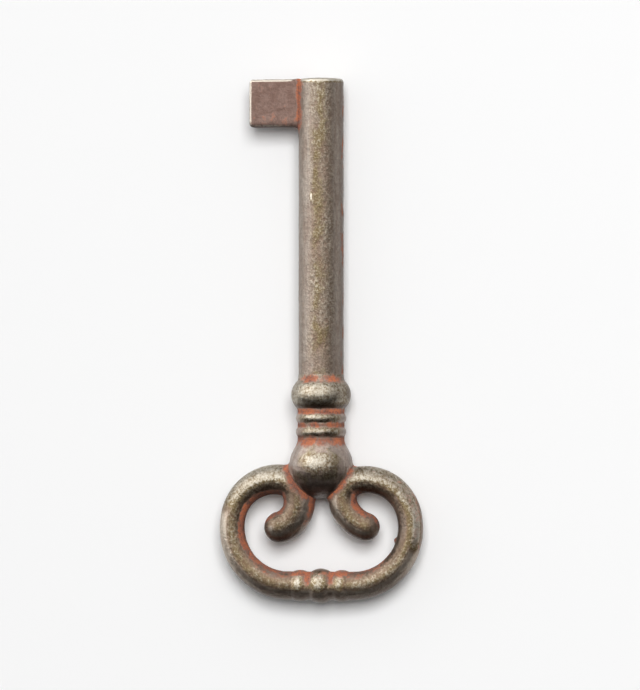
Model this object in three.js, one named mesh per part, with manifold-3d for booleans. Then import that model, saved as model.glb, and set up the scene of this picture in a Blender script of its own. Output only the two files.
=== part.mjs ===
// A rim lock key with a scrolled bow, as the separate pieces that it is built from.
// Millimetres. The key lies flat: +Y runs along the barrel to the nose, the bit points to -X,
// the bow lies across X and Y, and +Z is up. The origin is under the middle of the key, on the
// surface that the knop rests on.
// Every piece is drawn about the key's own axis, with y = 0 at the nose, and the last group
// lifts the axis to its height.

import * as THREE from 'three';
import { mergeVertices } from 'three/addons/utils/BufferGeometryUtils.js';
import Module from 'manifold-3d';

const wasm = await Module();
wasm.setup();

// Barrel
const barrelLength = 45.1;
const barrelDiameter = 6.85;
const boreDiameter = 3.9;
const boreDepth = 24;
const boreChamfer = 0.2;
const noseRounding = 0.5;

// Bit
const bitReach = 7.55;
const bitHeight = 7.3;
const bitThickness = 2.9;
const bitBelowNose = 0.05;
const bitCornerRadius = 0.65;
const bitEdgeRounding = 0.5;
const tenonDepth = 0.9;
const tenonThickness = 1.9;
const tenonShoulder = 0.7;

// Collar
const collarDiameter = 9.14;
const collarBeadHeight = 4.0;
const collarBeadFootDiameter = 7.42;
const collarUpperCove = 1.1;
const collarUpperDiameter = 6.9;
const collarLowerCove = 0.6;
const collarLowerDiameter = 7.15;

// Neck sleeve with its reeds
const neckDiameter = 7.12;
const reedCount = 2;
const reedDiameter = 7.66;
const reedHeight = 1.35;
const reedPitch = 2.1;
const firstReedFromCollar = 0.95;
const lastReedFromKnop = 1.25;

// Knop
const knopDiameter = 9.7;
const knopCoveHeight = 1.45;
const knopCoveFrom = 30.7;

// Stem pin inside the neck
const pinDiameter = 3.2;
const pinInBarrel = 8;
const pinInKnop = 4.2;

// Bow: centre line that both scrolls share, from the foot of the bow over its shoulder
const bowDepth = 18.25;
const footBesideBand = 0.73;
const sideRadius = 8.86;
const sideSweep = 103.8;
const shoulderRadius = 6.82;
const shoulderSweep = 87;

// Bow: the two curls, which differ a little as cast
const rightCurlRadius = 2.92;
const rightCurlSweep = 103.3;
const rightTipRadius = 5.55;
const rightTipSweep = 47.3;
const rightCurlDiameter = 4.3;
const leftCurlRadius = 2.71;
const leftCurlSweep = 53.9;
const leftTipRadius = 4.04;
const leftTipSweep = 100.8;
const leftCurlDiameter = 4.78;

// Bow: thickness of the rod up to the curls
const footDiameter = 4.32;
const sideDiameter = 3.8;
const thinnestAlong = 20;
const spigotDiameter = 2.9;

// Seats of the scrolls in the knop
const pegDiameter = 1.7;
const pegInKnop = 1.6;
const pegInScroll = 0.8;

// Band over the joint of the two scrolls
const centreBeadDiameter = 5.25;
const centreBeadWidth = 2.9;
const sideBeadDiameter = 4.8;
const sideBeadWidth = 2.15;
const bandGrooveWidth = 0.7;

// Clearances
const slideGap = 0.1;
const seatGap = 0.15;
const scrollSeatGap = 0.3;
const blindEndGap = 0.3;

// Fineness of the round forms
const turnedSides = 40;
const rodSides = 20;
const beadSteps = 6;
const coveSteps = 4;
const rodSteps = 52;

// Places along the axis
const knopRadius = knopDiameter / 2;
const barrelRadius = barrelDiameter / 2;
const pinSocketRadius = pinDiameter / 2 + slideGap;
const collarLength = collarUpperCove + collarBeadHeight + collarLowerCove;
const neckLength = firstReedFromCollar + (reedCount - 1) * reedPitch + lastReedFromKnop;
const barrelEnd = -barrelLength;
const collarEnd = barrelEnd - collarLength;
const neckEnd = collarEnd - neckLength;
const knopCoveAngle = THREE.MathUtils.degToRad(knopCoveFrom);
const knopCentre = neckEnd - knopCoveHeight - knopRadius * Math.sin(knopCoveAngle);
const barCentre = knopCentre - bowDepth;
const bandLength = centreBeadWidth + 2 * (bandGrooveWidth + sideBeadWidth);
const scrollFoot = bandLength / 2 + footBesideBand;
const overallLength = centreBeadDiameter / 2 - barCentre;

// Points on an arc about (centreR, centreY), angles in degrees from the +R direction
function arcPoints(centreR, centreY, radius, fromAngle, toAngle, steps) {
  const points = [];
  for (let step = 0; step <= steps; step += 1) {
    const angle = THREE.MathUtils.degToRad(fromAngle + (toAngle - fromAngle) * step / steps);
    points.push([centreR + radius * Math.cos(angle), centreY + radius * Math.sin(angle)]);
  }
  return points;
}

// A round bead across the profile, and the centre of its round, on a turned body of a smaller diameter
function bead(centre, height, diameter, bodyDiameter, steps = beadSteps) {
  const rise = (diameter - bodyDiameter) / 2;
  const radius = ((height / 2) ** 2 + rise ** 2) / (2 * rise);
  const reach = THREE.MathUtils.radToDeg(Math.asin(height / 2 / radius));
  return {
    centre: [diameter / 2 - radius, centre],
    points: arcPoints(diameter / 2 - radius, centre, radius, -reach, reach, steps),
  };
}

// A hollow curve that runs on from a round, along its slope, and reaches the last point upright
function cove(roundCentre, from, to) {
  const slope = (from[0] - roundCentre[0]) / (from[1] - roundCentre[1]);
  const meeting = from[1] + (from[0] - to[0]) * slope;
  const middle = to[1] > from[1] ? Math.min(meeting, to[1]) : Math.max(meeting, to[1]);
  const curve = new THREE.QuadraticBezierCurve(
    new THREE.Vector2(from[0], from[1]),
    new THREE.Vector2(to[0], middle),
    new THREE.Vector2(to[0], to[1]),
  );
  return curve.getPoints(coveSteps).map((point) => [point.x, point.y]);
}

// A body turned about the Y axis. The profile runs upwards along the outside.
function turned(profile, sides = turnedSides) {
  const nearest = 1e-3;
  const points = [];
  for (const [radius, y] of profile) {
    const point = new THREE.Vector2(Math.max(radius, 0), y);
    const last = points[points.length - 1];
    if (!last || last.distanceTo(point) > nearest) {
      points.push(point);
    }
  }
  return new THREE.LatheGeometry(points, sides);
}

// A ring turned about the Y axis, from its outer profile and the radius of its hole
function turnedRing(outerProfile, holeRadius, sides = turnedSides) {
  const bottom = outerProfile[0][1];
  const top = outerProfile[outerProfile.length - 1][1];
  const closed = [[holeRadius, bottom], ...outerProfile, [holeRadius, top], [holeRadius, bottom]];
  return turned(closed, sides);
}

// A closed three.js geometry as a solid for cutting and joining
function solid(geometry) {
  const bare = geometry.clone();
  bare.deleteAttribute('normal');
  bare.deleteAttribute('uv');
  const merged = mergeVertices(bare, 1e-4);
  const corners = merged.index.array;
  const triangles = [];
  for (let k = 0; k < corners.length; k += 3) {
    const [a, b, c] = [corners[k], corners[k + 1], corners[k + 2]];
    if (a !== b && b !== c && c !== a) {
      triangles.push(a, b, c);
    }
  }
  const mesh = new wasm.Mesh({
    numProp: 3,
    vertProperties: new Float32Array(merged.attributes.position.array),
    triVerts: new Uint32Array(triangles),
  });
  return new wasm.Manifold(mesh);
}

// A solid back as a three.js geometry
function geometryOf(body) {
  const mesh = body.getMesh();
  const geometry = new THREE.BufferGeometry();
  geometry.setAttribute('position', new THREE.BufferAttribute(mesh.vertProperties, 3));
  geometry.setIndex(new THREE.BufferAttribute(mesh.triVerts, 1));
  geometry.computeVertexNormals();
  return geometry;
}

function box(fromX, toX, fromY, toY, thickness) {
  const geometry = new THREE.BoxGeometry(toX - fromX, toY - fromY, thickness);
  return geometry.translate((fromX + toX) / 2, (fromY + toY) / 2, 0);
}

// A cylinder from one point towards another in the plane of the bow
function roundBar(from, to, diameter) {
  const along = to.clone().sub(from);
  const geometry = new THREE.CylinderGeometry(diameter / 2, diameter / 2, along.length(), rodSides);
  const turn = new THREE.Quaternion().setFromUnitVectors(
    new THREE.Vector3(0, 1, 0),
    along.clone().normalize(),
  );
  geometry.applyQuaternion(turn);
  const middle = from.clone().add(to).multiplyScalar(0.5);
  return geometry.translate(middle.x, middle.y, middle.z);
}

// Barrel: drilled at the nose, socketed for the pin at the other end, slotted for the bit
const slotTop = -bitBelowNose - tenonShoulder;
const slotBottom = -bitBelowNose - bitHeight + tenonShoulder;
const slotFloor = -(barrelRadius - tenonDepth);

function barrelGeometry() {
  const profile = [
    [0, barrelEnd + pinInBarrel],
    [pinSocketRadius, barrelEnd + pinInBarrel],
    [pinSocketRadius, barrelEnd],
    [barrelRadius, barrelEnd],
    ...arcPoints(barrelRadius - noseRounding, -noseRounding, noseRounding, 0, 90, 4),
    [boreDiameter / 2 + boreChamfer, 0],
    [boreDiameter / 2, -boreChamfer],
    [boreDiameter / 2, -boreDepth],
    [0, -boreDepth],
  ];
  const outside = -2 * barrelRadius;
  const slot = box(
    outside,
    slotFloor,
    slotBottom - slideGap,
    slotTop + slideGap,
    tenonThickness + 2 * slideGap,
  );
  return geometryOf(solid(turned(profile)).subtract(solid(slot)));
}

// Bit: a flag with rounded edges, hollowed to the barrel, with a tenon for the slot
function bitOutline(top, bottom) {
  const inset = bitEdgeRounding;
  const left = -barrelRadius - bitReach + inset;
  const right = slotFloor;
  const corner = bitCornerRadius - inset;
  const shape = new THREE.Shape();
  shape.moveTo(right, top - inset);
  shape.lineTo(left + corner, top - inset);
  shape.absarc(left + corner, top - inset - corner, corner, Math.PI / 2, Math.PI, false);
  shape.lineTo(left, bottom + inset + corner);
  shape.absarc(left + corner, bottom + inset + corner, corner, Math.PI, 1.5 * Math.PI, false);
  shape.lineTo(right, bottom + inset);
  shape.closePath();
  return shape;
}

function bitGeometry() {
  const top = -bitBelowNose;
  const bottom = top - bitHeight;
  const flatThickness = bitThickness - 2 * bitEdgeRounding;
  const flag = new THREE.ExtrudeGeometry(bitOutline(top, bottom), {
    depth: flatThickness,
    curveSegments: 4,
    bevelThickness: bitEdgeRounding,
    bevelSize: bitEdgeRounding,
    bevelSegments: 3,
  });
  flag.translate(0, 0, -flatThickness / 2);
  const hollowRadius = barrelRadius + seatGap;
  const hollow = new THREE.CylinderGeometry(hollowRadius, hollowRadius, 4 * bitHeight, turnedSides);
  const tenonRoot = -barrelRadius - bitReach / 2;
  const tenon = box(tenonRoot, slotFloor, slotBottom, slotTop, tenonThickness);
  return geometryOf(solid(flag).subtract(solid(hollow)).add(solid(tenon)));
}

// Collar: one bold bead between two coves
function collarGeometry() {
  const beadCentre = barrelEnd - collarUpperCove - collarBeadHeight / 2;
  const crest = bead(beadCentre, collarBeadHeight, collarDiameter, collarBeadFootDiameter, 2 * beadSteps);
  const lowest = crest.points[0];
  const highest = crest.points[crest.points.length - 1];
  const outer = [
    ...cove(crest.centre, lowest, [collarLowerDiameter / 2, collarEnd]).reverse(),
    ...crest.points,
    ...cove(crest.centre, highest, [collarUpperDiameter / 2, barrelEnd]),
  ];
  return turnedRing(outer, pinSocketRadius);
}

// Neck sleeve: a plain sleeve with round reeds standing on it
function neckGeometry() {
  const outer = [[neckDiameter / 2, neckEnd]];
  for (let reed = reedCount - 1; reed >= 0; reed -= 1) {
    const centre = collarEnd - firstReedFromCollar - reed * reedPitch;
    outer.push(...bead(centre, reedHeight, reedDiameter, neckDiameter).points);
  }
  outer.push([neckDiameter / 2, collarEnd]);
  return turnedRing(outer, pinSocketRadius);
}

// Knop: a ball that runs up to the neck in a cove, with sockets for the pin and the pegs
function knopGeometry() {
  const ball = arcPoints(0, knopCentre, knopRadius, -90, knopCoveFrom, 18);
  const socketFloor = neckEnd - pinInKnop - blindEndGap;
  const profile = [
    ...ball,
    ...cove([0, knopCentre], ball[ball.length - 1], [neckDiameter / 2, neckEnd]),
    [pinSocketRadius, neckEnd],
    [pinSocketRadius, socketFloor],
    [0, socketFloor],
  ];
  let body = solid(turned(profile));
  for (const curl of curls) {
    body = body.subtract(solid(pegGeometry(curl, pegInKnop + blindEndGap, slideGap)));
  }
  return geometryOf(body);
}

// Stem pin: joins the barrel, collar, neck sleeve and knop from inside
function pinGeometry() {
  const length = pinInBarrel + collarLength + neckLength + pinInKnop;
  const geometry = new THREE.CylinderGeometry(pinDiameter / 2, pinDiameter / 2, length, turnedSides);
  return geometry.translate(0, barrelEnd + pinInBarrel - length / 2, 0);
}

// The two scrolls: their curls, and the arcs that their centre lines run along
const curls = [
  {
    side: 1,
    radius: rightCurlRadius,
    sweep: rightCurlSweep,
    tipRadius: rightTipRadius,
    tipSweep: rightTipSweep,
    diameter: rightCurlDiameter,
  },
  {
    side: -1,
    radius: leftCurlRadius,
    sweep: leftCurlSweep,
    tipRadius: leftTipRadius,
    tipSweep: leftTipSweep,
    diameter: leftCurlDiameter,
  },
];
const [rightCurl, leftCurl] = curls;
const arcsBeforeCurl = 2;

function scrollArcs(curl) {
  const arcs = [
    [sideRadius, sideSweep],
    [shoulderRadius, shoulderSweep],
    [curl.radius, curl.sweep],
    [curl.tipRadius, curl.tipSweep],
  ];
  return arcs.map(([radius, sweep]) => ({ radius, sweep: THREE.MathUtils.degToRad(sweep) }));
}

// Where the centre line of a scroll is and which way it heads, this far along
function centreLineAt(curl, along) {
  const place = { x: Math.min(along, scrollFoot), y: barCentre, heading: 0 };
  let left = along - scrollFoot;
  for (const { radius, sweep } of scrollArcs(curl)) {
    if (left <= 0) {
      return place;
    }
    const turn = Math.min(left / radius, sweep);
    const heading = place.heading + turn;
    place.x += radius * (Math.sin(heading) - Math.sin(place.heading));
    place.y += radius * (Math.cos(place.heading) - Math.cos(heading));
    place.heading = heading;
    left -= radius * turn;
  }
  place.x += left * Math.cos(place.heading);
  place.y += left * Math.sin(place.heading);
  return place;
}

// How far along a scroll its first arcs end
function lengthOfArcs(curl, count) {
  const arcs = scrollArcs(curl).slice(0, count);
  return arcs.reduce((sum, { radius, sweep }) => sum + radius * sweep, scrollFoot);
}

// Radius of the rod this far along: thinnest at the side of the bow, thickest in the curl
function rodRadius(curl, along) {
  const smooth = THREE.MathUtils.smoothstep;
  const thinning = smooth(along, bandLength / 2, thinnestAlong);
  const swelling = smooth(along, thinnestAlong, lengthOfArcs(curl, arcsBeforeCurl + 1));
  const change = (sideDiameter - footDiameter) * thinning + (curl.diameter - sideDiameter) * swelling;
  return (footDiameter + change) / 2;
}

// The peg of a scroll, on the line from the middle of the curl to the middle of the knop
function pegGeometry(curl, depthInKnop, extraRadius) {
  const start = centreLineAt(curl, lengthOfArcs(curl, arcsBeforeCurl));
  const curlMiddle = new THREE.Vector3(
    start.x - curl.radius * Math.sin(start.heading),
    start.y + curl.radius * Math.cos(start.heading),
    0,
  );
  const knopMiddle = new THREE.Vector3(0, knopCentre, 0);
  const outward = curlMiddle.sub(knopMiddle).normalize();
  const root = knopMiddle.clone().addScaledVector(outward, knopRadius + scrollSeatGap + pegInScroll);
  const end = knopMiddle.addScaledVector(outward, knopRadius - depthInKnop);
  root.x *= curl.side;
  end.x *= curl.side;
  return roundBar(root, end, pegDiameter + 2 * extraRadius);
}

// Scroll: a tapered rod with a spigot at its foot and a round tip, bent along the centre line
function bentRod(curl) {
  const length = lengthOfArcs(curl, arcsBeforeCurl + 2);
  const profile = [[0, 0], [spigotDiameter / 2, 0], [spigotDiameter / 2, bandLength / 2]];
  for (let step = 0; step <= rodSteps; step += 1) {
    const along = THREE.MathUtils.lerp(bandLength / 2, length, step / rodSteps);
    profile.push([rodRadius(curl, along), along]);
  }
  profile.push(...arcPoints(0, length, rodRadius(curl, length), 0, 90, beadSteps));
  const rod = turned(profile, rodSides);
  const corners = rod.attributes.position;
  for (let k = 0; k < corners.count; k += 1) {
    const place = centreLineAt(curl, corners.getY(k));
    const outward = corners.getX(k);
    corners.setX(k, place.x + outward * Math.sin(place.heading));
    corners.setY(k, place.y - outward * Math.cos(place.heading));
  }
  return rod.scale(curl.side, 1, curl.side);
}

function scrollGeometry(curl) {
  const seatRadius = knopRadius + scrollSeatGap;
  const seat = new THREE.SphereGeometry(seatRadius, turnedSides, turnedSides / 2);
  seat.translate(0, knopCentre, 0);
  const peg = pegGeometry(curl, pegInKnop, 0);
  return geometryOf(solid(bentRod(curl)).subtract(solid(seat)).add(solid(peg)));
}

// Band: three beads round the joint of the two scrolls, turned about the X axis
function bandGeometry() {
  const sideCentre = (centreBeadWidth + sideBeadWidth) / 2 + bandGrooveWidth;
  const outer = [
    ...bead(-sideCentre, sideBeadWidth, sideBeadDiameter, footDiameter).points,
    ...bead(0, centreBeadWidth, centreBeadDiameter, footDiameter).points,
    ...bead(sideCentre, sideBeadWidth, sideBeadDiameter, footDiameter).points,
  ];
  const ring = turnedRing(outer, spigotDiameter / 2 + slideGap);
  ring.rotateZ(-Math.PI / 2);
  return ring.translate(0, barCentre, 0);
}

// The pieces, each with its own finish
const key = new THREE.Group();
key.position.set(0, overallLength / 2, knopRadius);

function addPiece(name, geometry, color, roughness = 0.55, metalness = 0.8) {
  const material = new THREE.MeshStandardMaterial({ color, roughness, metalness });
  const mesh = new THREE.Mesh(geometry, material);
  mesh.name = name;
  key.add(mesh);
}

addPiece('barrel', barrelGeometry(), '#85796a');
addPiece('bit', bitGeometry(), '#7d635a', 0.75, 0.6);
addPiece('collar', collarGeometry(), '#8f8673');
addPiece('neck_sleeve', neckGeometry(), '#8a7a68');
addPiece('knop', knopGeometry(), '#8f8673');
addPiece('stem_pin', pinGeometry(), '#6f675c');
addPiece('scroll_right', scrollGeometry(rightCurl), '#7f7263');
addPiece('scroll_left', scrollGeometry(leftCurl), '#7f7263');
addPiece('bow_band', bandGeometry(), '#8a7f6c');

const model = new THREE.Group();
model.add(key);

export default model;
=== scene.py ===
"""The rim lock key as it looks: fine meshes, patinated metal, soft studio light and the camera."""

import math

import bmesh
import bpy
import numpy as np
from mathutils import Matrix, Vector, noise

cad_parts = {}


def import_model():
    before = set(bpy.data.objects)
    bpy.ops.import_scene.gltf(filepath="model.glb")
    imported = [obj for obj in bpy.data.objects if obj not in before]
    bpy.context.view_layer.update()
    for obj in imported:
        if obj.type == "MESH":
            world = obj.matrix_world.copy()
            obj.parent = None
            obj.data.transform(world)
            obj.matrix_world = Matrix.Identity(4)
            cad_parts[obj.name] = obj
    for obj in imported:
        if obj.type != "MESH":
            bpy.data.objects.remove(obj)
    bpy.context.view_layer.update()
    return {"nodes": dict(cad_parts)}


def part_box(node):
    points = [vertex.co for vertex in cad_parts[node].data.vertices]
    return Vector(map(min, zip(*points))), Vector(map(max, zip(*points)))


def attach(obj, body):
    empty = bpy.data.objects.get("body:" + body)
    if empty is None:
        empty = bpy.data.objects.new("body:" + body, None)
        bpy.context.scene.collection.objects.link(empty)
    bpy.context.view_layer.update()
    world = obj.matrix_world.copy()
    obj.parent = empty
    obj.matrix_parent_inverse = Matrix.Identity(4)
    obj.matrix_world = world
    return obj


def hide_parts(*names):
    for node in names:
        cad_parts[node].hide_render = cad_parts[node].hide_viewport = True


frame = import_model()

MM = 0.001


def box_mm(node):
    """The lowest and highest corner of a CAD node, in millimetres."""
    low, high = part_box(node)
    return np.array(low) / MM, np.array(high) / MM


# Places along the key, from the frame, in millimetres
barrel_low, barrel_high = box_mm("barrel")
bit_low, bit_high = box_mm("bit")
knop_low, knop_high = box_mm("knop")
band_low, band_high = box_mm("bow_band")
NOSE_Y = barrel_high[1]
BARREL_END_Y = barrel_low[1]
COLLAR_END_Y = box_mm("collar")[0][1]
NECK_END_Y = box_mm("neck_sleeve")[0][1]
KNOP_RADIUS = (knop_high[2] - knop_low[2]) / 2
KNOP_Y = knop_low[1] + KNOP_RADIUS
AXIS_Z = (knop_high[2] + knop_low[2]) / 2
BAR_Y = (band_high[1] + band_low[1]) / 2
BARREL_RADIUS = (barrel_high[2] - barrel_low[2]) / 2
BAND_HALF_LENGTH = band_high[0]

# Forms of the pieces, in millimetres
BORE_RADIUS = 1.95
BORE_DEPTH = 24
BORE_CHAMFER = 0.2
NOSE_ROUNDING = 0.55
BIT_ROUNDING = 0.55
BIT_LET_IN = 0.6
PIN_HOLE_RADIUS = 1.7
PIN_HOLE_DEPTH = 8
KNOP_HOLE_DEPTH = 4.5
KNOP_COVE_FROM_DEGREES = 30.7
COLLAR_UPPER_COVE = 1.1
COLLAR_UPPER_RADIUS = 3.45
COLLAR_LOWER_RADIUS = 3.575
NECK_RADIUS = 3.56
REED_PITCH = 2.1
FIRST_REED_FROM_COLLAR = 0.95
REED_COUNT = 2
SCROLL_FOOT = BAND_HALF_LENGTH + 0.73
FOOT_RADIUS = 2.16
SIDE_RADIUS = 1.9
RIGHT_CURL_RADIUS = 2.15
LEFT_CURL_RADIUS = 2.39
THINNEST_ALONG = 20
SPIGOT_RADIUS = 1.45
BAND_HOLE_RADIUS = SPIGOT_RADIUS + 0.1
BAND_GROOVE_WIDTH = 0.7
FILLET_AT_KNOP = 1.1
FILLET_AT_BARREL = 0.9

# Beads and reeds, as crest radius, foot radius and height
COLLAR_BEAD = (4.57, 3.71, 4.0)
REED = (3.83, NECK_RADIUS, 1.35)
CENTRE_BEAD = (2.625, FOOT_RADIUS, 2.9)
SIDE_BEAD = (2.4, FOOT_RADIUS, 2.15)

# Arcs of the scrolls, as radius and sweep in degrees
SHARED_ARCS = ((8.86, 103.8), (6.82, 87))
RIGHT_CURL = ((2.92, 103.3), (5.55, 47.3))
LEFT_CURL = ((2.71, 53.9), (4.04, 100.8))

# Fineness of the meshes
RING_STEP = 0.14
COARSE_STEP = 0.25
TURNED_SIDES = 144
ROD_SIDES = 80
BIT_CUTS = 56
LINE_SAMPLES = 500
COVE_STEPS = 8
FILLET_ROUNDS = 6
SAME_PLACE = 1e-4
TINY = 1e-6


# Profiles as (radius, place along the axis), from the low end to the high end

def arc(centre, radius, from_degrees, to_degrees):
    """Points on an arc, about one every RING_STEP."""
    turn = math.radians(to_degrees - from_degrees)
    steps = max(3, round(abs(turn) * radius / RING_STEP))
    angles = [math.radians(from_degrees) + turn * k / steps for k in range(steps + 1)]
    return [(centre[0] + radius * math.cos(a), centre[1] + radius * math.sin(a)) for a in angles]


def bead(form, place):
    """A round bead, from its crest radius, foot radius and height, and the centre of its round."""
    crest, foot, height = form
    rise = crest - foot
    radius = ((height / 2) ** 2 + rise ** 2) / (2 * rise)
    reach = math.degrees(math.asin(height / 2 / radius))
    centre = (crest - radius, place)
    return arc(centre, radius, -reach, reach), centre


def cove(round_centre, start, end):
    """A hollow curve that runs on from a round, along its slope, and reaches the end upright."""
    slope = (start[0] - round_centre[0]) / (start[1] - round_centre[1])
    meeting = start[1] + (start[0] - end[0]) * slope
    middle = min(meeting, end[1]) if end[1] > start[1] else max(meeting, end[1])
    points = []
    for k in range(COVE_STEPS + 1):
        t = k / COVE_STEPS
        a, b, c = (1 - t) ** 2, 2 * t * (1 - t), t ** 2
        points.append((a * start[0] + (b + c) * end[0], a * start[1] + b * middle + c * end[1]))
    return points


def fine(profile, step=RING_STEP):
    """The profile with no repeated point and no stretch longer than the step."""
    points = [profile[0]]
    for target in profile[1:]:
        start = points[-1]
        length = math.dist(start, target)
        if length < SAME_PLACE:
            continue
        count = math.ceil(length / step)
        for k in range(1, count + 1):
            t = k / count
            points.append((start[0] + (target[0] - start[0]) * t, start[1] + (target[1] - start[1]) * t))
    return points


def turned(profile, sides=TURNED_SIDES, closed=False):
    """Corners and faces of a body turned about the Y axis, centred on the axis of the key."""
    corners = []
    rings = []
    for radius, y in profile:
        if radius < SAME_PLACE:
            rings.append([len(corners)] * sides)
            corners.append((0.0, y, 0.0))
            continue
        rings.append(list(range(len(corners), len(corners) + sides)))
        for k in range(sides):
            angle = 2 * math.pi * k / sides
            corners.append((radius * math.sin(angle), y, radius * math.cos(angle)))
    faces = []
    pairs = list(zip(rings, rings[1:]))
    if closed:
        pairs.append((rings[-1], rings[0]))
    for low, high in pairs:
        for k in range(sides):
            n = (k + 1) % sides
            face = [low[k], low[n], high[n], high[k]]
            face = [c for at, c in enumerate(face) if c != face[at - 1]]
            if len(face) > 2:
                faces.append(face)
    return np.array(corners), faces


# Scrolls: the line that each rod follows, and its thickness

RIGHT = 1
LEFT = -1


def smooth(value, low, high):
    """0 up to low, 1 from high on and smooth between."""
    t = np.clip((value - low) / (high - low), 0, 1)
    return t * t * (3 - 2 * t)


class Scroll:
    """The centre line of one scroll, as arcs from its foot to its tip, and the radius of its rod."""

    def __init__(self, side, curl, curl_radius):
        self.side = side
        self.curl_radius = curl_radius
        self.arcs = [(radius, math.radians(sweep)) for radius, sweep in (*SHARED_ARCS, *curl)]
        ends = SCROLL_FOOT + np.cumsum([radius * sweep for radius, sweep in self.arcs])
        self.curl_start, self.tip_start, self.length = ends[1:]
        self.samples = np.linspace(0, self.length, LINE_SAMPLES)
        self.points = np.array([self.at(along)[:2] for along in self.samples])
        self.radii = np.array([self.radius(along) for along in self.samples])

    def at(self, along):
        """Where the line is this far along, on the right side of the key, and its heading."""
        x, y, heading = min(along, SCROLL_FOOT), BAR_Y, 0.0
        left = along - SCROLL_FOOT
        for radius, sweep in self.arcs:
            if left <= 0:
                return x, y, heading
            turn = min(left / radius, sweep)
            x += radius * (math.sin(heading + turn) - math.sin(heading))
            y += radius * (math.cos(heading) - math.cos(heading + turn))
            heading += turn
            left -= radius * turn
        return x + left * math.cos(heading), y + left * math.sin(heading), heading

    def radius(self, along):
        """The rod thins from its foot to its side and swells from there to its tip."""
        thinning = smooth(along, BAND_HALF_LENGTH, THINNEST_ALONG)
        swelling = smooth(along, THINNEST_ALONG, self.tip_start)
        change = (SIDE_RADIUS - FOOT_RADIUS) * thinning + (self.curl_radius - SIDE_RADIUS) * swelling
        return FOOT_RADIUS + change

    def distance(self, points):
        """How far points are from the surface of the rod."""
        flat = points[:, :2] * (self.side, 1)
        in_plane = np.linalg.norm(flat[:, None] - self.points[None], axis=2)
        return (np.hypot(in_plane, points[:, 2:3]) - self.radii).min(axis=1)


right_scroll = Scroll(RIGHT, RIGHT_CURL, RIGHT_CURL_RADIUS)
left_scroll = Scroll(LEFT, LEFT_CURL, LEFT_CURL_RADIUS)


# How far points are from the surfaces of the other bodies, for fillets and patina

def from_scrolls(points):
    return np.minimum(right_scroll.distance(points), left_scroll.distance(points))


def from_knop(points):
    return np.linalg.norm(points - (0, KNOP_Y, 0), axis=1) - KNOP_RADIUS


def from_barrel(points):
    return np.hypot(points[:, 0], points[:, 2]) - BARREL_RADIUS


def from_bit(points):
    middle = np.array([bit_low[0] / 2, (bit_low[1] + bit_high[1]) / 2, 0])
    half = np.array([-bit_low[0] / 2, (bit_high[1] - bit_low[1]) / 2, (bit_high[2] - bit_low[2]) / 2])
    beyond = np.abs(points - middle) - (half - BIT_ROUNDING)
    outside = np.linalg.norm(np.maximum(beyond, 0), axis=1)
    return outside + np.minimum(beyond.max(axis=1), 0) - BIT_ROUNDING


def fillet(points, normals, distance, width):
    """Lifts points along their normals into a smooth fillet against another surface."""
    lift = np.zeros(len(points))
    for _ in range(FILLET_ROUNDS):
        away = distance(points + normals * lift[:, None])
        meet = np.maximum(width - np.abs(lift - away), 0)
        lift = 0.5 * lift + 0.5 * meet ** 2 / (4 * width)
    return points + normals * lift[:, None]


# Masks for the patina, the painted shade and the painted highlights

NOISE_SHIFT = (17.3, 5.1, 9.7)
WORN_SIDE = (0.13, 0, 0.99)
DARK_FACE_FROM = -0.05
DARK_FACE_TO = 0.5
DARK_FACE_FADE = (0.5, 0.4)


def near(distance, reach):
    """1 at a surface, falling smoothly to 0 beyond the reach."""
    return np.exp(-np.square(np.maximum(distance, 0) / reach))


def bump(value, centre, half_width):
    """1 at the centre, falling smoothly to both sides."""
    return np.exp(-np.square((value - centre) / half_width))


def clouds(points, size, seed, stretch=(1, 1, 1)):
    """Smooth noise from about -1 to 1 with features of the given size in millimetres."""
    shift = Vector([seed * step for step in NOISE_SHIFT])
    scaled = points / np.array(stretch) / size
    return np.array([noise.noise(Vector(p) + shift) for p in scaled])


def patchy(points, size, seed, share):
    """Patches from 0 to 1 that cover about this share of the surface."""
    return smooth(clouds(points, size, seed), 0.25 - 0.6 * share, 0.5 - 0.6 * share)


def round_angle(points):
    """Degrees round the key's axis, from the top towards +X."""
    return np.degrees(np.arctan2(points[:, 0], points[:, 2]))


def shaded_towards_plus_x(normals):
    """Painted shade: the side of the key towards +X is darker."""
    return 0.18 * smooth(normals[:, 0], 0.3, 0.8) + 0.32 * smooth(normals[:, 0], 0.85, 0.98)


def towards_bow(normals, low, high):
    """How much a surface faces the bow and not the nose; painted shade lies there, away from the light."""
    return smooth(-normals[:, 1], low, high)


def facing_up(normals, power=2):
    """Rubbing reaches what faces up or down off the plane of the bow, a little more on one side."""
    return np.abs(normals @ np.array(WORN_SIDE)) ** power


def dark_face(normals):
    """The face between the flanks, centred a little towards +X, gets a darker coat; the paler coat kept on
    the flanks is a painted sheen.
    """
    nx = normals[:, 0]
    left = smooth(nx, DARK_FACE_FROM - DARK_FACE_FADE[0], DARK_FACE_FROM)
    return left * (1 - smooth(nx, DARK_FACE_TO, DARK_FACE_TO + DARK_FACE_FADE[1]))


# The layers are rust, rubbing with painted highlights, and painted shade.
def layers_of(rust, rub_and_highlight, shade):
    return np.stack([rust, rub_and_highlight, shade], axis=1)


# Making a piece

SHARP_FROM = 50

# Height, size and seed of each layer of unevenness
WAVES = ((0.022, 2.6, 3), (0.012, 1.1, 4), (0.006, 0.5, 5))


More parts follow.
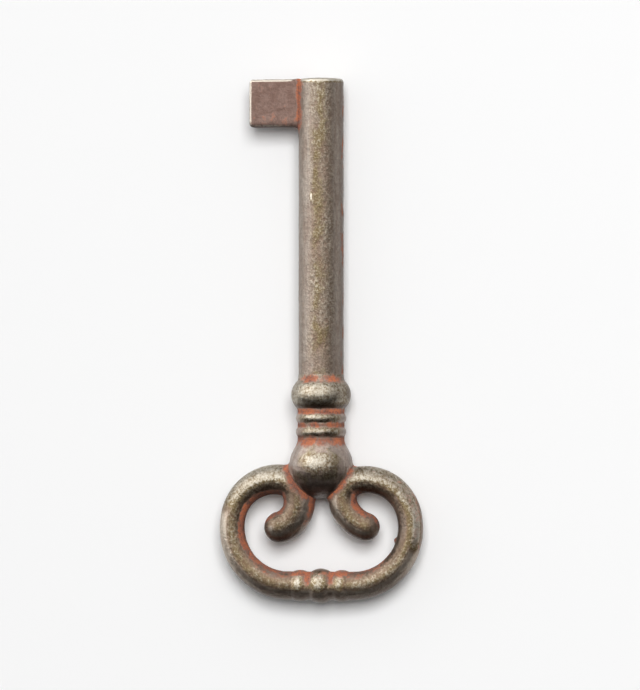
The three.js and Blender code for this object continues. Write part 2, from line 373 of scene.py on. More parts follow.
def piece(name, corners, faces, node, material, shape=None, patina=None):
    """A mesh that stands for a CAD node. shape moves its corners, and patina gives rust, rubbing with
    painted highlights, and painted shade.
    """
    mesh = bpy.data.meshes.new(name)
    mesh.from_pydata(corners.tolist(), [], faces)
    mesh.update()
    normals = np.zeros(len(corners) * 3)
    mesh.vertex_normals.foreach_get("vector", normals)
    normals = normals.reshape(-1, 3)
    moved = shape(corners, normals) if shape else corners
    waves = sum(height * clouds(moved, size, seed) for height, size, seed in WAVES)
    moved = moved + normals * waves[:, None]
    mesh.vertices.foreach_set("co", ((moved + (0, 0, AXIS_Z)) * MM).ravel())
    mesh.update()
    mesh.vertex_normals.foreach_get("vector", normals.reshape(-1))
    layers = patina(moved, normals) if patina else np.zeros((len(corners), 3))
    finish_and_painted_light = mesh.attributes.new("finish_and_painted_light", "FLOAT_VECTOR", "POINT")
    finish_and_painted_light.data.foreach_set("vector", layers.ravel())
    mesh.polygons.foreach_set("use_smooth", [True] * len(mesh.polygons))
    mesh.set_sharp_from_angle(angle=math.radians(SHARP_FROM))
    mesh.materials.append(material)
    obj = bpy.data.objects.new(name, mesh)
    bpy.context.scene.collection.objects.link(obj)
    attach(obj, "root")
    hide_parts(node)
    return obj


# Materials

class Nodes:
    """A small helper that adds and joins the nodes of one material."""

    def __init__(self, tree):
        self.tree = tree
        self.tree.nodes.clear()

    def add(self, kind, inputs=None, **settings):
        node = self.tree.nodes.new(kind)
        for key, value in settings.items():
            setattr(node, key, value)
        for key, value in (inputs or {}).items():
            self.feed(node.inputs[key], value)
        return node

    def feed(self, socket, value):
        if isinstance(value, bpy.types.NodeSocket):
            self.tree.links.new(value, socket)
        else:
            socket.default_value = value

    def math(self, operation, a, b=0.0, clamp=False):
        return self.add("ShaderNodeMath", {0: a, 1: b}, operation=operation, use_clamp=clamp).outputs[0]

    def weighted(self, *pairs):
        """The sum of values times weights."""
        total = 0.0
        for value, weight in pairs:
            total = self.math("ADD", total, self.math("MULTIPLY", value, weight))
        return total

    def blend(self, amount, a, b, mode="MIX"):
        """A mix of two colours, which are sockets 6 and 7 of the node, with output 2."""
        node = self.add("ShaderNodeMix", data_type="RGBA", blend_type=mode)
        self.feed(node.inputs["Factor"], amount)
        self.feed(node.inputs[6], a)
        self.feed(node.inputs[7], b)
        return node.outputs[2]

    def speckle(self, per_mm, detail=3.0, stretch=(1, 1, 1), seed=0.0):
        """Noise with about this many features in a millimetre."""
        place = self.add("ShaderNodeTexCoord").outputs["Object"]
        scale = tuple(per_mm / MM * s for s in stretch)
        mapped = {"Vector": place, "Scale": scale, "Location": (seed, seed, seed)}
        mapping = self.add("ShaderNodeMapping", mapped)
        noise_inputs = {"Vector": mapping.outputs[0], "Scale": 1.0, "Detail": detail, "Roughness": 0.6}
        return self.add("ShaderNodeTexNoise", noise_inputs).outputs["Fac"]

    def steps(self, value, low, high):
        """0 below low, 1 above high and smooth between."""
        limits = {"Value": value, "From Min": low, "From Max": high}
        return self.add("ShaderNodeMapRange", limits, interpolation_type="SMOOTHSTEP").outputs[0]


BRIGHT_RUST = (0.5, 0.15, 0.062, 1)
MIDDLE_RUST = (0.32, 0.115, 0.068, 1)
DARK_RUST = (0.13, 0.045, 0.032, 1)
RUSTY_DUST = (0.34, 0.24, 0.195, 1)
# The near-black colour of the painted shade.
PAINTED_SHADE = (0.026, 0.014, 0.01, 1)
OLIVE_COAT = (0.22, 0.17, 0.098, 1)

# Where each layer starts to show and where it covers all, as the sum of its mask and its noises
TOP_COAT_SHOWS = (1.4, 1.9)
OLIVE_SHOWS = (1.35, 1.65)
BARE_SHOWS = (1.15, 1.65)
DUST_SHOWS = (0.75, 1.25)
RUST_SHOWS = (1.15, 1.7)
MIDDLE_RUST_SHOWS = (0.38, 0.5)
BRIGHT_RUST_SHOWS = (0.46, 0.56)
DUST_COVER = 0.75
# How fully the painted shade covers the colour.
PAINTED_SHADE_COVER = 0.9


def metal(name, side_coat, top_coat, bare, metallic, roughness, rub_and_highlight_share, grain_height,
          streak=(1, 0.12, 1)):
    """Patinated metal. The attribute holds where rust lies, where rubbing and painted highlights bare the
    metal, and where painted shade darkens it.
    """
    material = bpy.data.materials.new(name)
    material.use_nodes = True
    n = Nodes(material.node_tree)
    finish_and_painted_light = n.add("ShaderNodeAttribute", attribute_name="finish_and_painted_light").outputs["Vector"]
    rust_layer, rub_and_highlight_layer, shade_layer = n.add("ShaderNodeSeparateXYZ", {0: finish_and_painted_light}).outputs

    grain = n.speckle(2.4, stretch=(1, 0.8, 1))
    fine_grain = n.speckle(4.8, detail=2.0, stretch=(1, 0.8, 1), seed=3.1)
    blotches = n.speckle(0.3, stretch=(1, 0.4, 1), seed=7.7)
    patches = n.speckle(1.0, stretch=(1, 0.7, 1), seed=5.3)
    streaks = n.speckle(2.0, stretch=streak, seed=9.1)

    def mottled(coat, tint, *noises, low=0.4, high=0.6):
        """The coat with patches of a darker tint where the noise is low."""
        tinted = n.blend(1.0, coat, tint, "MULTIPLY")
        return n.blend(n.steps(n.weighted(*noises), low, high), tinted, coat)

    side = mottled(side_coat, (0.76, 0.69, 0.66, 1), (patches, 0.3), (blotches, 0.3), (streaks, 0.4))
    side = mottled(side, (0.78, 0.76, 0.76, 1), (grain, 0.6), (fine_grain, 0.4))
    top = mottled(top_coat, (0.8, 0.68, 0.62, 1), (blotches, 0.5), (patches, 0.5), low=0.35, high=0.55)
    top = mottled(top, (0.6, 0.55, 0.52, 1), (grain, 0.6), (fine_grain, 0.4))
    olive = mottled(OLIVE_COAT, (0.62, 0.57, 0.5, 1), (grain, 0.4), (fine_grain, 0.6), low=0.42, high=0.58)
    is_olive = n.steps(n.weighted((rub_and_highlight_layer, 1.0), (grain, 0.6), (patches, 0.6)), *OLIVE_SHOWS)
    is_top = n.weighted((rub_and_highlight_layer, 1.0), (patches, 0.8), (blotches, 1.2), (grain, 0.4))
    is_top = n.steps(is_top, *TOP_COAT_SHOWS)
    coat = n.blend(is_top, side, n.blend(is_olive, top, olive))

    # Bare metal shows where the metal is rubbed and where the rub layer paints a highlight.
    rubbed_and_highlit = n.weighted((rub_and_highlight_layer, rub_and_highlight_share), (blotches, 0.5), (grain, 0.9), (fine_grain, 0.5))
    rubbed_and_highlit = n.steps(rubbed_and_highlit, *BARE_SHOWS)
    colour = n.blend(rubbed_and_highlit, coat, bare)

    dusty = n.steps(n.weighted((rust_layer, 1.0), (patches, 0.8), (grain, 0.4)), *DUST_SHOWS)
    colour = n.blend(n.math("MULTIPLY", dusty, DUST_COVER), colour, RUSTY_DUST)
    rusty = n.steps(n.weighted((rust_layer, 1.0), (patches, 1.0), (grain, 0.8)), *RUST_SHOWS)
    is_middle = n.steps(n.weighted((patches, 0.5), (grain, 0.5)), *MIDDLE_RUST_SHOWS)
    is_bright = n.weighted((fine_grain, 0.4), (patches, 0.3), (blotches, 0.3))
    is_bright = n.steps(is_bright, *BRIGHT_RUST_SHOWS)
    rust = n.blend(is_bright, n.blend(is_middle, DARK_RUST, MIDDLE_RUST), BRIGHT_RUST)
    colour = n.blend(rusty, colour, rust)
    # Painted shade darkens the colour where the third layer says so.
    colour = n.blend(n.math("MULTIPLY", shade_layer, PAINTED_SHADE_COVER), colour, PAINTED_SHADE)

    rough = n.weighted((grain, 0.2), (rusty, 0.35), (dusty, 0.15), (rubbed_and_highlit, -0.1))
    rough = n.math("ADD", rough, roughness - 0.1, clamp=True)
    shine = n.math("ADD", metallic, n.math("MULTIPLY", rubbed_and_highlit, 1 - metallic))
    covered = n.math("MAXIMUM", rusty, n.math("MULTIPLY", dusty, 0.5))
    bare_metal = n.math("MULTIPLY", n.math("SUBTRACT", 1.0, covered), shine, clamp=True)
    height = n.weighted((grain, 1.0), (fine_grain, 0.4), (patches, 1.0))
    relief = n.add("ShaderNodeBump", {"Height": height, "Strength": 1.0, "Distance": grain_height * MM})
    shader = n.add(
        "ShaderNodeBsdfPrincipled",
        {"Base Color": colour, "Metallic": bare_metal, "Roughness": rough, "Normal": relief.outputs[0]},
    )
    n.feed(n.add("ShaderNodeOutputMaterial").inputs["Surface"], shader.outputs[0])
    return material


GREY_COAT = (0.45, 0.39, 0.345, 1)
BARREL_COAT = (0.335, 0.29, 0.245, 1)
PALE_COAT = (0.5, 0.44, 0.365, 1)
TAUPE_COAT = (0.285, 0.235, 0.185, 1)
BROWN_COAT = (0.27, 0.21, 0.15, 1)
PALE_METAL = (0.48, 0.44, 0.37, 1)
CREST_METAL = (0.4, 0.365, 0.305, 1)
BIT_COAT = (0.235, 0.15, 0.12, 1)
# Pale colour of the painted highlight on the bit's rims.
BIT_RIM_HIGHLIGHT = (0.62, 0.56, 0.48, 1)

barrel_metal = metal(
    "barrel_metal", BARREL_COAT, TAUPE_COAT, PALE_METAL,
    metallic=0.9, roughness=0.42, rub_and_highlight_share=0.22, grain_height=0.07,
)
bit_metal = metal(
    "bit_metal", BIT_COAT, BIT_COAT, BIT_RIM_HIGHLIGHT,
    metallic=0.4, roughness=0.6, rub_and_highlight_share=0.9, grain_height=0.09, streak=(0.4, 0.8, 1),
)
turned_metal = metal(
    "turned_metal", GREY_COAT, OLIVE_COAT, CREST_METAL,
    metallic=0.95, roughness=0.36, rub_and_highlight_share=0.52, grain_height=0.08,
)
scroll_metal = metal(
    "scroll_metal", PALE_COAT, BROWN_COAT, PALE_METAL,
    metallic=0.95, roughness=0.38, rub_and_highlight_share=0.24, grain_height=0.08,
)
pin_metal = metal(
    "pin_metal", GREY_COAT, OLIVE_COAT, PALE_METAL,
    metallic=1.0, roughness=0.5, rub_and_highlight_share=0.3, grain_height=0.03,
)

# A rub this strong leaves no coat
FULLY_BARE = 3


# Rust where the barrel meets the collar, as centre and half width of its patches in degrees

CUFF_STRONG_PATCH = (-19, 17)
CUFF_WEAK_PATCH = (36, 26)
CUFF_BEHIND_FROM = 85


def cuff_rust(points):
    """One strong patch and a weaker one on the upper side, and uneven ones behind."""
    angle = round_angle(points)
    strong = bump(angle, *CUFF_STRONG_PATCH)
    weak = 0.65 * bump(angle, *CUFF_WEAK_PATCH)
    behind = 0.8 * patchy(points, size=2.5, seed=2, share=0.4) * (np.abs(angle) > CUFF_BEHIND_FROM)
    along = bump(points[:, 1], BARREL_END_Y - 0.7, 0.7)
    return along * (0.35 + 0.65 * np.maximum.reduce([strong, weak, behind]))


# Barrel: the scratch in millimetres, the rest as centre and half width in degrees round the axis

SCRATCH = (-0.88, 21.9)
SCRATCH_HALF_SIZE = (0.13, 0.55)
RUN_BELOW_BIT = (-72, 14)
SIDE_RUST = (90, 13)
TOP_STRIPE = (0, 26)
UNDER_STRIPE = (180, 26)
SIDE_RUST_WANDER = 22
STRIPE_WANDER = 26


def barrel_rust(points):
    """Rust in the seam of the bit, in a run below it, at the collar and along the +X side."""
    y = points[:, 1]
    on_side = 1 - smooth(y, NOSE_Y - 0.6, NOSE_Y - 0.1)
    seam = near(from_bit(points), 0.35 + 0.55 * on_side)
    below_bit = smooth(y, bit_low[1] - 2.5, bit_low[1]) * (y < bit_low[1] + 0.5)
    run = 0.8 * below_bit * bump(round_angle(points), *RUN_BELOW_BIT)
    wander = SIDE_RUST_WANDER * clouds(points, size=1.6, seed=13, stretch=(1, 2.5, 1))
    side = 0.6 * bump(round_angle(points) + wander, *SIDE_RUST) * on_side
    side = side * patchy(points, size=2.5, seed=12, share=0.7)
    return np.maximum.reduce([seam, cuff_rust(points), run, side])


def barrel_rub(points, normals):
    """A broken stripe along the top and the bottom, the bare rim of the nose and one scratch."""
    x, y, z = points.T
    nose_rim = smooth(y, NOSE_Y - 0.75, NOSE_Y - 0.35)
    scratch = bump(x, SCRATCH[0], SCRATCH_HALF_SIZE[0]) * bump(y, SCRATCH[1], SCRATCH_HALF_SIZE[1]) * (z > 0)
    angle = round_angle(points) + STRIPE_WANDER * clouds(points, size=2.2, seed=11, stretch=(1, 2, 1))
    stripe = bump(angle, *TOP_STRIPE) + bump(np.abs(angle), *UNDER_STRIPE)
    broken = smooth(clouds(points, size=2.6, seed=14, stretch=(1, 1.6, 1)), -0.45, 0.05)
    # dark_face keeps the paler coat on the flanks as a painted sheen, and the darker one on the face.
    worn = 0.66 * dark_face(normals) + 0.34 * stripe * broken
    return np.maximum.reduce([worn, FULLY_BARE * nose_rim, 2 * FULLY_BARE * scratch])


def barrel_piece():
    lip = (BARREL_RADIUS - NOSE_ROUNDING, NOSE_Y - NOSE_ROUNDING)
    profile = [
        (0, BARREL_END_Y + PIN_HOLE_DEPTH),
        (PIN_HOLE_RADIUS, BARREL_END_Y + PIN_HOLE_DEPTH),
        (PIN_HOLE_RADIUS, BARREL_END_Y),
        (BARREL_RADIUS, BARREL_END_Y),
        *arc(lip, NOSE_ROUNDING, 0, 90),
        (BORE_RADIUS + BORE_CHAMFER, NOSE_Y),
        (BORE_RADIUS, NOSE_Y - BORE_CHAMFER),
        (BORE_RADIUS, NOSE_Y - BORE_DEPTH),
        (0, NOSE_Y - BORE_DEPTH),
    ]
    corners, faces = turned(fine(profile, COARSE_STEP))

    def shape(points, normals):
        outside = np.hypot(points[:, 0], points[:, 2]) > BARREL_RADIUS - 0.05
        joined = fillet(points, normals, from_bit, FILLET_AT_BARREL)
        joined[:, 1] = np.minimum(joined[:, 1], NOSE_Y)
        return np.where((outside & (points[:, 0] < 0))[:, None], joined, points)

    def patina(points, normals):
        # The third layer is the painted shade on the side towards +X.
        return layers_of(barrel_rust(points), barrel_rub(points, normals), shaded_towards_plus_x(normals))

    return piece("key_barrel", corners, faces, "barrel", barrel_metal, shape, patina)


# Bit

# Painted highlight on the bit's rounded edges, stronger on the upper ones.
UPPER_EDGE_HIGHLIGHT = 1.6
LOWER_EDGE_HIGHLIGHT = 0.5


def bit_piece():
    low = np.array([bit_low[0], bit_low[1], bit_low[2] - AXIS_Z])
    high = np.array([-BARREL_RADIUS + BIT_LET_IN, bit_high[1], bit_high[2] - AXIS_Z])
    block = bmesh.new()
    bmesh.ops.create_cube(block, size=2)
    bmesh.ops.subdivide_edges(block, edges=block.edges, cuts=BIT_CUTS, use_grid_fill=True)
    corners = np.array([v.co for v in block.verts]) * (high - low) / 2 + (high + low) / 2
    faces = [[v.index for v in face.verts] for face in block.faces]
    block.free()
    inner = np.clip(corners, low + BIT_ROUNDING, high - BIT_ROUNDING)
    outward = corners - inner
    length = np.linalg.norm(outward, axis=1)[:, None]
    rounded = inner + outward / np.maximum(length, TINY) * BIT_ROUNDING
    corners = np.where(length > SAME_PLACE, rounded, corners)

    def shape(points, normals):
        joined = fillet(points, normals, from_barrel, FILLET_AT_BARREL)
        joined[:, 1] = np.minimum(joined[:, 1], NOSE_Y)
        return joined

    def patina(points, normals):
        above_end = points[:, 1] - bit_low[1]
        lower_part = 1 - smooth(above_end, 1, 4.5)
        rust = np.maximum(near(from_barrel(points), 0.5), 0.12 + 0.12 * lower_part)
        # Painted highlight on the rounded edges, weaker near the barrel and on edges facing the bow.
        on_edge = smooth(1 - np.max(np.abs(normals), axis=1), 0.02, 0.14)
        worn = on_edge * np.where(normals[:, 2] > 0.1, UPPER_EDGE_HIGHLIGHT, LOWER_EDGE_HIGHLIGHT)
        worn = worn * (1 - near(from_barrel(points), 1.5)) * (1 - 0.7 * towards_bow(normals, 0.1, 0.5))
        # Painted shade on the low rim and on what faces the bow.
        low_rim = 0.45 * (1 - smooth(above_end, 0.4, 1.1))
        return layers_of(rust, worn, np.maximum(low_rim, 0.75 * towards_bow(normals, 0.35, 0.9)))

    return piece("key_bit", corners, faces, "bit", bit_metal, shape, patina)


# Collar

def collar_piece():
    crest, centre = bead(COLLAR_BEAD, BARREL_END_Y - COLLAR_UPPER_COVE - COLLAR_BEAD[2] / 2)
    profile = [
        (PIN_HOLE_RADIUS, COLLAR_END_Y),
        *reversed(cove(centre, crest[0], (COLLAR_LOWER_RADIUS, COLLAR_END_Y))),
        *crest,
        *cove(centre, crest[-1], (COLLAR_UPPER_RADIUS, BARREL_END_Y)),
        (PIN_HOLE_RADIUS, BARREL_END_Y),
    ]
    corners, faces = turned(fine(profile), closed=True)

    def patina(points, normals):
        patches = patchy(points, size=1.5, seed=4, share=0.5)
        lower = bump(points[:, 1], COLLAR_END_Y + 0.1, 0.45) * (0.7 + 0.3 * patches)
        # Painted highlight on the bead's upper slope, and painted shade on what faces the bow and towards
        # +X.
        shining = smooth(normals[:, 1], -0.85, -0.3) * smooth(normals[:, 2] ** 2, -0.6, 0.4)
        shade = np.maximum(shaded_towards_plus_x(normals), 0.85 * towards_bow(normals, 0.35, 0.65))
        rust = np.maximum(cuff_rust(points), lower)
        return layers_of(rust, 0.2 + 0.7 * shining, shade * (1 - 0.8 * lower))

    return piece("key_collar", corners, faces, "collar", turned_metal, None, patina)


# Neck sleeve

def neck_piece():
    profile = [(PIN_HOLE_RADIUS, NECK_END_Y), (NECK_RADIUS, NECK_END_Y)]
    reeds = [COLLAR_END_Y - FIRST_REED_FROM_COLLAR - k * REED_PITCH for k in range(REED_COUNT)]
    for place in reversed(reeds):
        profile += bead(REED, place)[0]
    profile += [(NECK_RADIUS, COLLAR_END_Y), (PIN_HOLE_RADIUS, COLLAR_END_Y)]
    corners, faces = turned(fine(profile), closed=True)
    groove_y = (reeds[0] + reeds[1]) / 2
    below_reeds_y = reeds[1] - REED[2] / 2 - 0.1

    def patina(points, normals):
        y = points[:, 1]
        patches = patchy(points, size=1.3, seed=6, share=0.55)
        upper = bump(y, COLLAR_END_Y - 0.05, 0.42) * (0.75 + 0.25 * patches)
        between = 0.8 * bump(y, groove_y, 0.5) * (0.7 + 0.3 * patches)
        lower = bump(y, NECK_END_Y, 0.8) * (0.65 + 0.35 * patches)
        rust = np.maximum.reduce([upper, between, lower])
        # Painted shade in the groove between the reeds, below them, on what faces the bow and towards +X.
        in_groove = 0.4 * bump(y, groove_y, 0.35)
        below_reeds = 0.75 * bump(y, below_reeds_y, 0.25)
        under = 0.7 * towards_bow(normals, 0.4, 0.8)
        shade = np.maximum.reduce([under, in_groove, below_reeds, shaded_towards_plus_x(normals)])
        return layers_of(rust, 0.15 + 0.85 * facing_up(normals), shade)

    return piece(
        "key_neck_sleeve", corners, faces, "neck_sleeve", turned_metal, None, patina
    )


# Knop

def knop_piece():
    ball = arc((0, KNOP_Y), KNOP_RADIUS, -90, KNOP_COVE_FROM_DEGREES)
    profile = [
        *ball,
        *cove((0, KNOP_Y), ball[-1], (NECK_RADIUS, NECK_END_Y)),
        (PIN_HOLE_RADIUS, NECK_END_Y),
        (PIN_HOLE_RADIUS, NECK_END_Y - KNOP_HOLE_DEPTH),
        (0, NECK_END_Y - KNOP_HOLE_DEPTH),
    ]
    corners, faces = turned(fine(profile))

    def shape(points, normals):
        outside = np.abs(from_knop(points)) < 0.05
        joined = fillet(points, normals, from_scrolls, FILLET_AT_KNOP)
        return np.where(outside[:, None], joined, points)

    def patina(points, normals):
        nx, ny, nz = normals.T
        patches = patchy(points, size=1.3, seed=6, share=0.55)
        upper = bump(points[:, 1], NECK_END_Y, 1.0) * (0.75 + 0.25 * patches)
        rust = np.maximum(upper, near(from_scrolls(points), 0.45))
        # Rubbed crest metal on the upper middle of the ball, placed and brightened in a soft spot as a
        # painted highlight, with an olive band of painted half-light below it.
        crest = smooth(ny, -0.5, -0.05) * (1 - 0.75 * smooth(ny, 0.15, 0.65))
        crest = crest * smooth(nz ** 2, 0.05, 0.8) * smooth(nx, -0.85, -0.15)
        crest = crest * (0.7 + 0.9 * bump(nx, 0, 0.3) * bump(ny, 0.15, 0.3))
        olive = 0.6 * bump(ny, -0.3, 0.25) * smooth(nz ** 2, 0.1, 0.6)
        # Painted shade on the lower side, which faces the bow.
        lower = np.maximum(0.35 * towards_bow(normals, 0, 0.3), 0.9 * towards_bow(normals, 0.35, 0.65))
        rub_and_highlight = np.maximum(0.15 + 0.75 * crest, olive)
        return layers_of(rust, rub_and_highlight, np.maximum(shaded_towards_plus_x(normals), lower))

    return piece("key_knop", corners, faces, "knop", turned_metal, shape, patina)


# Scrolls: one flaw on each, as its place, reach and height

FLAWS = {RIGHT: ((11.45, -30.3, 0.2), 0.42, 0.5), LEFT: ((-10.85, -32.6, 0.9), 0.2, -0.25)}

# Stretches along a rod over which its patina and painted shade change
BAR_ENDS = (9, 14)
LOWER_WALL_ENDS = (12, 17)
WALL_SHADE_DEEPENS = (14, 20)
BARE_SIDE_BEGINS = (14.5, 18)
ARCH_BEGINS = (20, 24)
OUTER_DUST_ABOUT = (22, 8)

# How strong the rust and painted shade are on each side, and how far round the rod they start and are full
SEAM_RUST = {RIGHT: (0.85, 0.9), LEFT: (1, 1.15)}
BAR_SHADE = {RIGHT: 0.25, LEFT: 0.5}
CURL_SHADE = {RIGHT: 0.22, LEFT: 0.38}
ARCH_SHADE = {RIGHT: 0.5, LEFT: 0.38}
SIDE_SHADE = {RIGHT: (0.6, 0, 0.35), LEFT: (0.22, -0.4, -0.1)}


def flank_rust(scroll, along, inward):
    """The left curl has rust on its outer flank, before its tip."""
    if scroll.side == RIGHT:
        return np.zeros(len(along))
    begins = smooth(along, scroll.tip_start - 4, scroll.tip_start - 2)
    ends = smooth(along, scroll.tip_start + 1, scroll.tip_start + 6)
    return 0.85 * smooth(-inward, 0.5, 0.85) * begins * (1 - ends)


def rod_rust(scroll, points, along, inward):
    """Rust on the inner wall, in the pocket of the curl and at the knop, and thinner dust near it."""
    on_bar = 1 - smooth(along, *BAR_ENDS)
    patches = patchy(points, size=2.2, seed=8, share=0.6)
    dust = 0.22 * on_bar * smooth(inward, 0.2, 0.6) + 0.2 * bump(inward, 0.7, 0.35)
    if scroll.side == RIGHT:
        wall = 0.75 * smooth(inward, 0.74, 0.9) * (1 - smooth(along, *LOWER_WALL_ENDS))
        dust = np.maximum(dust, 0.33 * bump(along, *OUTER_DUST_ABOUT) * smooth(-inward, 0.1, 0.6))
    else:
        wall = smooth(inward - 0.14 * on_bar, 0.52, 0.78)
    wall = 0.9 * wall * (0.75 + 0.25 * patches)
    in_pocket = smooth(along, scroll.curl_start - 3, scroll.curl_start + 1)
    pocket = smooth(inward, 0.45, 0.9) * in_pocket * (0.7 + 0.3 * patches)
    share, reach = SEAM_RUST[scroll.side]
    seam = share * near(from_knop(points), reach)
    return np.maximum.reduce([wall, pocket, flank_rust(scroll, along, inward), seam, dust])


def rod_rub_and_highlight(scroll, normals, along, inward):
    """Rubbing on the face between the flanks, and bare metal as a painted highlight on the outer half of the
    arch and, on the right, along the outer side.
    """
    on_arch = smooth(along, *ARCH_BEGINS)
    between = dark_face(normals) * (1 - smooth(-inward, 0.12, 0.5))
    worn = 0.6 * np.maximum(between, smooth(inward, 0, 0.3)) + 0.4 * facing_up(normals, 9)
    # Painted highlight: bare metal on the outer half of the arch.
    bare = 1.9 * on_arch * (1 - smooth(inward, -0.08, 0.22))
    if scroll.side == RIGHT:
        # Painted highlight: a bare stripe along the right rod's outer side.
        on_outer_side = smooth(-inward, -0.05, 0.3) * (1 - smooth(-inward, 0.84, 0.98))
        on_outer_side = on_outer_side * smooth(along, *BARE_SIDE_BEGINS) * (1 - on_arch)
        bare = bare + (1.65 + 0.95 * smooth(-inward, 0.3, 0.5)) * on_outer_side
    return np.maximum(worn, bare * (1 - smooth(along, scroll.curl_start, scroll.tip_start)))


def rod_shade(scroll, normals, along, inward):
    """Painted shade on what faces the bow, deep on the inner wall, on both sides of the bar, on the side, on
    the arch's outer flank and on the curl.
    """
    on_bar = 1 - smooth(along, *BAR_ENDS)
    on_arch = smooth(along, *ARCH_BEGINS)
    on_curl = smooth(along, scroll.curl_start, scroll.tip_start)
    under = 0.85 * towards_bow(normals, 0.3, 0.8) * (1 - 0.7 * flank_rust(scroll, along, inward))
    deep = (0.25 + 0.45 * smooth(along, *WALL_SHADE_DEEPENS)) * smooth(inward, 0.93, 0.99)
    below_bar = BAR_SHADE[scroll.side] * towards_bow(normals, -0.35, -0.05) * on_bar
    above_bar = 0.24 * on_bar * smooth(inward, 0.1, 0.6)
    share, begins, full = SIDE_SHADE[scroll.side]
    side = share * smooth(inward, begins, full) * (1 - on_bar) * (1 - on_arch)
    arch = ARCH_SHADE[scroll.side] * on_arch * (1 - on_curl) * bump(inward, -0.48, 0.25)
    curl = CURL_SHADE[scroll.side] * on_curl
    return np.maximum.reduce([shaded_towards_plus_x(normals), under, deep, below_bar, above_bar, side, arch, curl])


def scroll_piece(scroll, name, node):
    profile = [(0, 0), (SPIGOT_RADIUS, 0), (SPIGOT_RADIUS, BAND_HALF_LENGTH)]
    steps = round((scroll.length - BAND_HALF_LENGTH) / RING_STEP)
    for k in range(steps + 1):
        place = BAND_HALF_LENGTH + (scroll.length - BAND_HALF_LENGTH) * k / steps
        profile.append((scroll.radius(place), place))
    profile += arc((0, scroll.length), scroll.radius(scroll.length), 0, 90)
    straight, faces = turned(fine(profile, COARSE_STEP), ROD_SIDES)
    corners = np.empty_like(straight)
    outward = np.empty_like(straight)
    for k, (out, place, z) in enumerate(straight):
        x, y, heading = scroll.at(place)
        outward[k] = (out * math.sin(heading), -out * math.cos(heading), z)
        corners[k] = outward[k] + (x, y, 0)
    from_axis = np.maximum(np.hypot(straight[:, 0], straight[:, 2]), TINY)
    outward /= from_axis[:, None]
    inward = -straight[:, 0] / from_axis
    along = straight[:, 1]
    corners *= (scroll.side, 1, scroll.side)
    outward *= (scroll.side, 1, scroll.side)
    spot, reach, height = FLAWS[scroll.side]

    def flaw(points):
        return np.exp(-np.square(np.linalg.norm(points - spot, axis=1) / reach))

    def shape(points, normals):
        joined = fillet(points, normals, from_knop, FILLET_AT_KNOP)
        return joined + normals * (height * flaw(points))[:, None]

    def patina(points, normals):
        at_tip = smooth(along, scroll.length - 0.5, scroll.length)[:, None]
        normals = normals * at_tip + outward * (1 - at_tip)
        flawed = np.clip(3 * flaw(points), 0, 1)
        rust = np.maximum(rod_rust(scroll, points, along, inward), flawed)
        rub_and_highlight = rod_rub_and_highlight(scroll, normals, along, inward)
        return layers_of(rust, rub_and_highlight, rod_shade(scroll, normals, along, inward) * (1 - flawed))

    return piece(name, corners, faces, node, scroll_metal, shape, patina)


# Band over the joint of the scrolls

def band_piece():
    side_place = (CENTRE_BEAD[2] + SIDE_BEAD[2]) / 2 + BAND_GROOVE_WIDTH
    groove_place = (CENTRE_BEAD[2] + BAND_GROOVE_WIDTH) / 2
    profile = [
        (BAND_HOLE_RADIUS, -BAND_HALF_LENGTH),
        *bead(SIDE_BEAD, -side_place)[0],
        *bead(CENTRE_BEAD, 0)[0],
        *bead(SIDE_BEAD, side_place)[0],
        (BAND_HOLE_RADIUS, BAND_HALF_LENGTH),
    ]
    straight, faces = turned(fine(profile), closed=True)
    corners = np.stack([straight[:, 1], BAR_Y - straight[:, 0], straight[:, 2]], axis=1)

    def patina(points, normals):
        off_middle = np.abs(points[:, 0])
        across_bar = np.maximum(np.hypot(normals[:, 1], normals[:, 2]), TINY)[:, None]
        normals = normals * (0, 1, 1) / across_bar
        inner = np.clip((points[:, 1] - BAR_Y) / FOOT_RADIUS, -1, 1)
        grooves = bump(off_middle, groove_place, 0.55) * (0.15 + 0.85 * smooth(inner, -0.3, 0.6))
        wall = bump(inner, 0.85, 0.2) * (0.4 + 0.45 * smooth(off_middle, 1.2, 2.4))
        dust = 0.28 * smooth(inner, 0.2, 0.6)
        # Painted highlight on the beads' crests, and painted shade on what faces the bow.
        beads = bump(off_middle, 0, 1.2) + bump(off_middle, side_place, 0.7)
        shining = smooth(normals[:, 1], -0.6, 0) * (1 - smooth(normals[:, 1], 0.8, 0.95))
        crest = 2.0 * beads * shining * smooth(normals[:, 2] ** 2, 0.1, 0.6)
        worn = 0.6 * (1 - smooth(-inner, 0.12, 0.5)) + 0.4 * facing_up(normals, 9)
        shade = 0.85 * towards_bow(normals, 0.25, 0.75)
        return layers_of(np.maximum.reduce([grooves, wall, dust]), np.maximum(worn, crest), shade)

    return piece("key_bow_band", corners, faces, "bow_band", scroll_metal, None, patina)


barrel_piece()
bit_piece()
collar_piece()
neck_piece()
knop_piece()
scroll_piece(right_scroll, "key_scroll_right", "scroll_right")
scroll_piece(left_scroll, "key_scroll_left", "scroll_left")
band_piece()

for material_slot in frame["nodes"]["stem_pin"].material_slots:
    material_slot.material = pin_metal


# Floor, in metres as all that follows

FLOOR_SIZE = 4.0
PAPER = (0.93, 0.93, 0.93, 1)


def floor():
    mesh = bpy.data.meshes.new("floor")
    half = FLOOR_SIZE / 2
    corners = [(-half, -half, 0), (half, -half, 0), (half, half, 0), (-half, half, 0)]
    mesh.from_pydata(corners, [], [(0, 1, 2, 3)])
    obj = bpy.data.objects.new("floor", mesh)
    bpy.context.scene.collection.objects.link(obj)
    material = bpy.data.materials.new("floor_paper")
    material.use_nodes = True
    n = Nodes(material.node_tree)
    paper = n.add("ShaderNodeBsdfDiffuse", {"Color": PAPER})
    n.feed(n.add("ShaderNodeOutputMaterial").inputs["Surface"], paper.outputs[0])
    mesh.materials.append(material)


# World: a pale room that is bright beyond the nose and dark beyond the bow

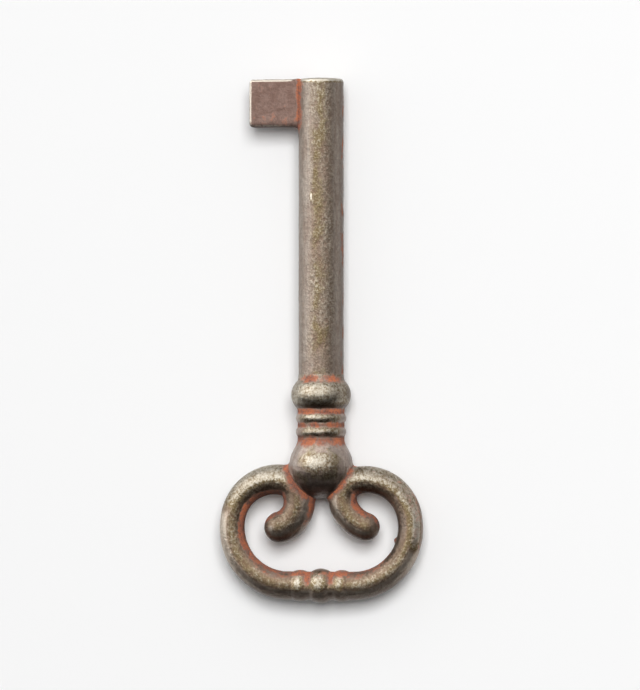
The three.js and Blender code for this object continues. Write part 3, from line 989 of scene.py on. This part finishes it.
ROOM_BRIGHT_SIDE = (-0.05, 0.93, 0.365)
ROOM_DARK_BELOW = -0.3
ROOM_BRIGHT_FROM = 0.26
ROOM_DARK = (0.035, 0.033, 0.032, 1)
ROOM_BRIGHT = (0.41, 0.41, 0.41, 1)


def world():
    room = bpy.data.worlds.new("studio")
    bpy.context.scene.world = room
    room.use_nodes = True
    n = Nodes(room.node_tree)
    direction = n.add("ShaderNodeTexCoord").outputs["Generated"]
    aligned = n.add("ShaderNodeVectorMath", {0: direction, 1: ROOM_BRIGHT_SIDE}, operation="DOT_PRODUCT")
    share = n.steps(aligned.outputs["Value"], ROOM_DARK_BELOW, ROOM_BRIGHT_FROM)
    room_colour = n.blend(share, ROOM_DARK, ROOM_BRIGHT)
    light = n.add("ShaderNodeBackground", {"Color": room_colour, "Strength": 1.0})
    n.feed(n.add("ShaderNodeOutputWorld").inputs["Surface"], light.outputs[0])


# Lamps

def turned_to(towards):
    """The rotation of a camera or lamp whose back faces that way, with its top to the nose."""
    back = Vector(towards).normalized()
    right = Vector((0, 1, 0)).cross(back).normalized()
    return Matrix((right, back.cross(right), back)).transposed().to_euler()


def softbox(name, place, size, radiance, in_gloss):
    """A softbox aimed at the key, which lights either the gloss of the metal or the matt surfaces."""
    data = bpy.data.lights.new(name, "AREA")
    data.shape = "RECTANGLE"
    data.size, data.size_y = size
    data.energy = radiance * math.pi * size[0] * size[1]
    obj = bpy.data.objects.new(name, data)
    obj.visible_glossy = in_gloss
    obj.visible_diffuse = not in_gloss
    obj.location = place
    obj.rotation_euler = turned_to(place)
    bpy.context.scene.collection.objects.link(obj)


floor()
world()
softbox("softbox_top", place=(-0.2, 0.9, 1.34), size=(3.4, 2.8), radiance=1.75, in_gloss=True)
softbox("softbox_left", place=(-1.6, 0.6, 0.65), size=(2.2, 1.8), radiance=1.7, in_gloss=True)
softbox("softbox_right", place=(1.6, 0.8, 0.5), size=(1.8, 1.2), radiance=0.5, in_gloss=True)
softbox("softbox_overhead", place=(0.33, 0.41, 1.5), size=(0.7, 0.7), radiance=13.4, in_gloss=False)


# Camera: above the key, tilted as the key lies rolled on the table in the photograph

ROLL = math.radians(11.89)
PITCH = math.radians(-1.06)
CAMERA_DISTANCE = 1.0
IMAGE_HEIGHT = 690
PIXELS_PER_MM = 6.561
AIM = Vector((-0.000179, -0.00066, AXIS_Z * MM))
SENSOR = 36
NEAREST_SEEN = 0.01

camera_data = bpy.data.cameras.new("camera")
camera_data.sensor_width = SENSOR
camera_data.lens = SENSOR * CAMERA_DISTANCE / (IMAGE_HEIGHT / PIXELS_PER_MM * MM)
camera_data.clip_start = NEAREST_SEEN
camera = bpy.data.objects.new("camera", camera_data)
towards = Vector((math.sin(ROLL), math.cos(ROLL) * math.sin(PITCH), math.cos(ROLL) * math.cos(PITCH)))
camera.location = AIM + towards * CAMERA_DISTANCE
camera.rotation_euler = turned_to(towards)
bpy.context.scene.collection.objects.link(camera)
bpy.context.scene.camera = camera

bpy.context.scene.view_settings.view_transform = "Standard"
